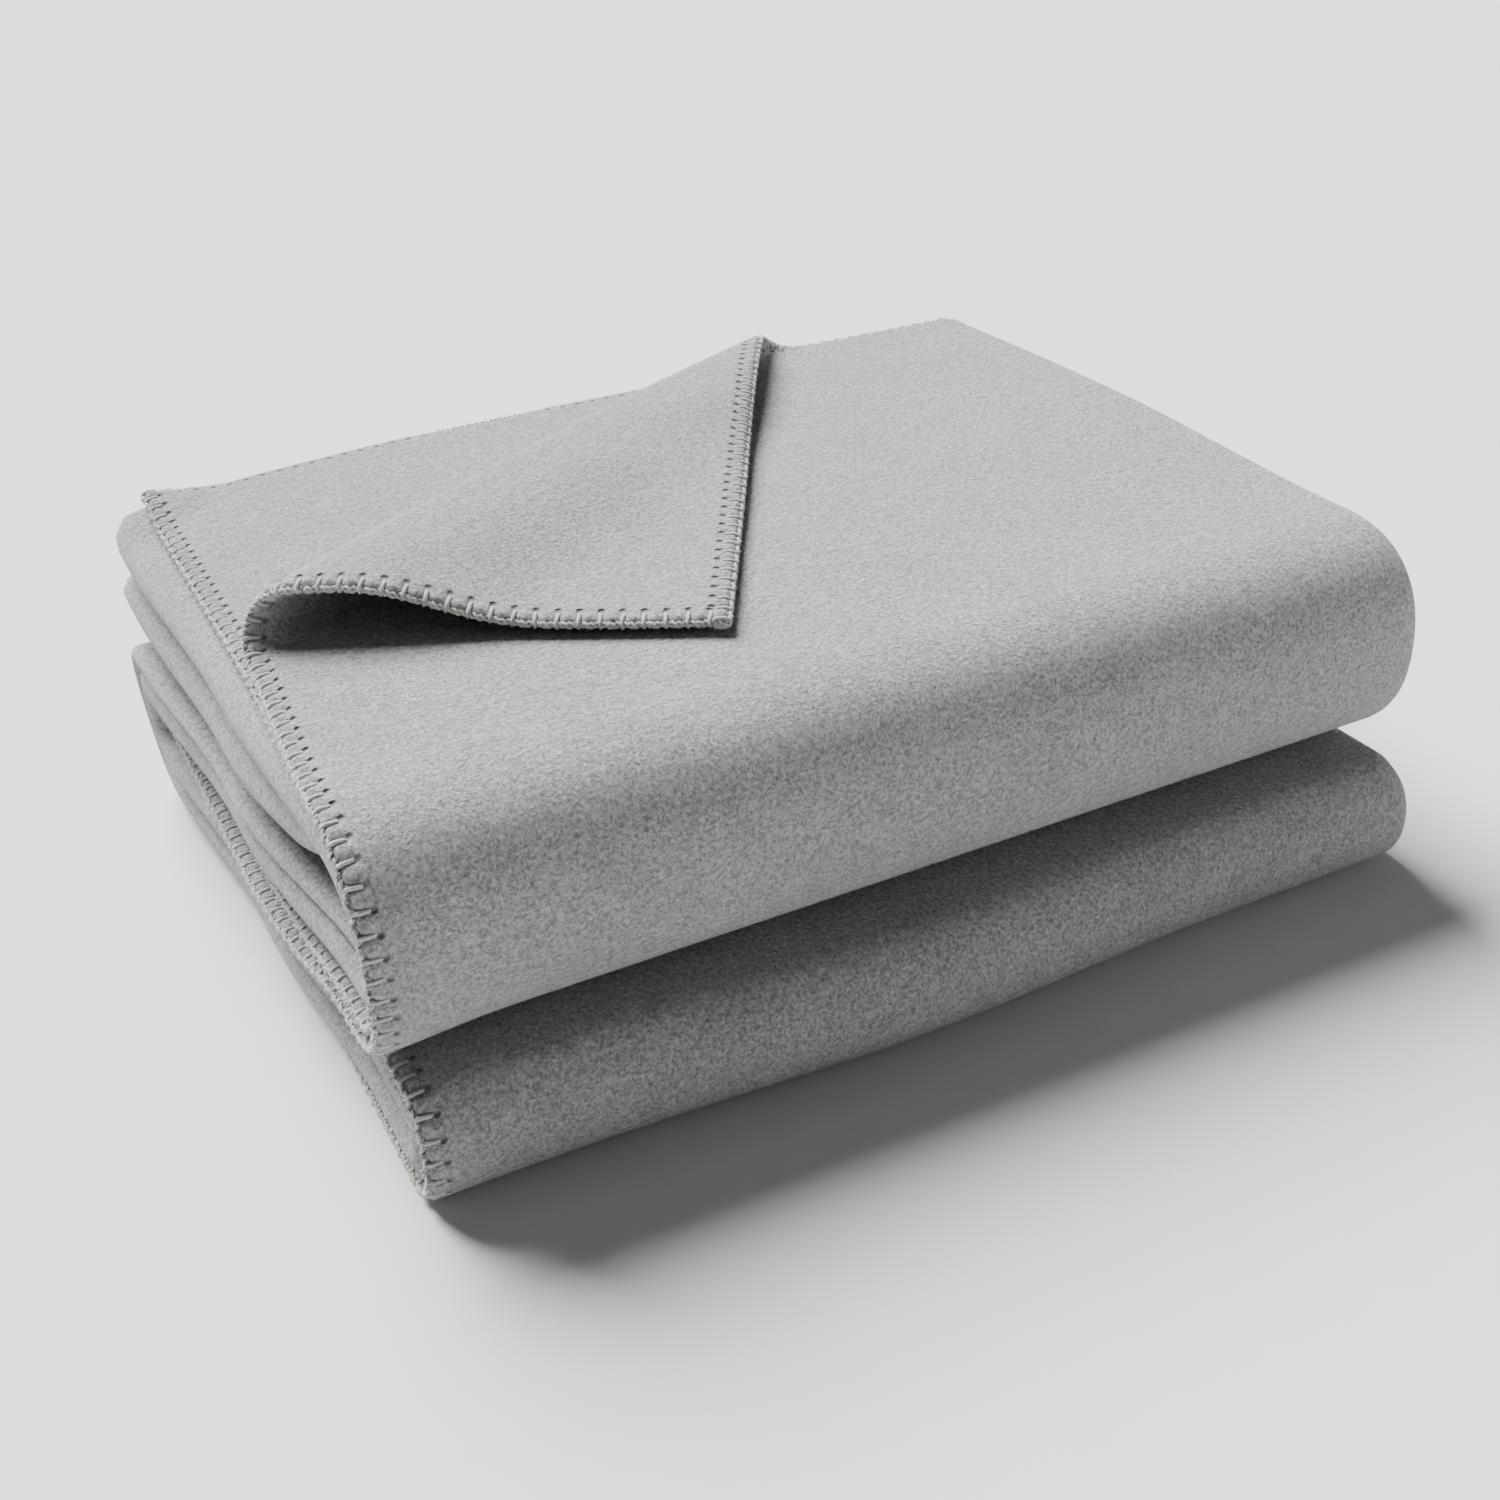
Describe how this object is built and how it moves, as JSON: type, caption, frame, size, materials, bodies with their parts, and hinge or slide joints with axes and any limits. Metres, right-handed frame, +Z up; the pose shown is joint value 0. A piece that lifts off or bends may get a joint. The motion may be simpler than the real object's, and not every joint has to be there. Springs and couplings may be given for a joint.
{
  "type": "folded throw blanket",
  "caption": "Fleece throw folded into a flat rectangular stack, with blanket-stitched edges and the back left corner of the top ply turned over.",
  "frame": {"origin": "on the floor under the middle of the folded stack's bounding box", "axes": "+X along the folded width, from the stitched left edges to the right side folds; +Y from the front folds to the back; +Z up"},
  "size_m": [0.375, 0.326, 0.1475],
  "materials": {
    "third_run": "matte",
    "fourth_run": "matte",
    "fifth_run": "matte",
    "sixth_run": "matte",
    "upper_front_fold_outer": "matte",
    "upper_front_fold_inner": "matte",
    "back_fold_inner": "matte",
    "back_fold_outer": "matte",
    "lower_front_fold": "matte",
    "edging_outer": "matte",
    "edging_inner": "matte",
    "edging_front_fold_1": "matte",
    "edging_front_fold_2": "matte",
    "edging_front_fold_3": "matte",
    "edging_front_fold_4": "matte",
    "top_run": "matte",
    "second_run": "matte",
    "edging_top_left": "matte",
    "edging_upper_end": "matte",
    "edging_lower_end": "matte",
    "corner_roll": "matte",
    "edging_roll_left": "matte",
    "edging_roll_back": "matte",
    "turned_corner": "matte",
    "edging_corner": "matte"
  },
  "bodies": {
    "lower_stack": {"third_run": "third_run", "fourth_run": "fourth_run", "fifth_run": "fifth_run", "sixth_run": "sixth_run", "upper_front_fold_outer": "upper_front_fold_outer", "upper_front_fold_inner": "upper_front_fold_inner", "back_fold_inner": "back_fold_inner", "back_fold_outer": "back_fold_outer", "lower_front_fold": "lower_front_fold", "edging_outer": "edging_outer", "edging_inner": "edging_inner", "edging_front_fold_1": "edging_front_fold_1", "edging_front_fold_2": "edging_front_fold_2", "edging_front_fold_3": "edging_front_fold_3", "edging_front_fold_4": "edging_front_fold_4"},
    "top_third": {"top_run": "top_run", "second_run": "second_run", "edging_top_left": "edging_top_left", "edging_upper_end": "edging_upper_end", "edging_lower_end": "edging_lower_end", "corner_roll": "corner_roll", "edging_roll_left": "edging_roll_left", "edging_roll_back": "edging_roll_back"},
    "corner_flap": {"turned_corner": "turned_corner", "edging_corner": "edging_corner"}
  },
  "joints": [
    {"name": "top_third_hinge", "type": "hinge", "parent": "lower_stack", "child": "top_third", "pos_m": [0, -0.12346, 0.0821], "axis": [1, 0, 0], "range_deg": [0, 90], "deforming": ["upper_front_fold_outer", "upper_front_fold_inner", "edging_front_fold_1", "edging_front_fold_2", "edging_front_fold_3", "edging_front_fold_4"]},
    {"name": "corner_hinge", "type": "hinge", "parent": "top_third", "child": "corner_flap", "pos_m": [-0.11136, 0.02534, 0.13174], "axis": [-0.8847, -0.4656, 0.0216], "range_deg": [0, 110], "deforming": ["corner_roll", "edging_roll_left", "edging_roll_back"]}
  ]
}
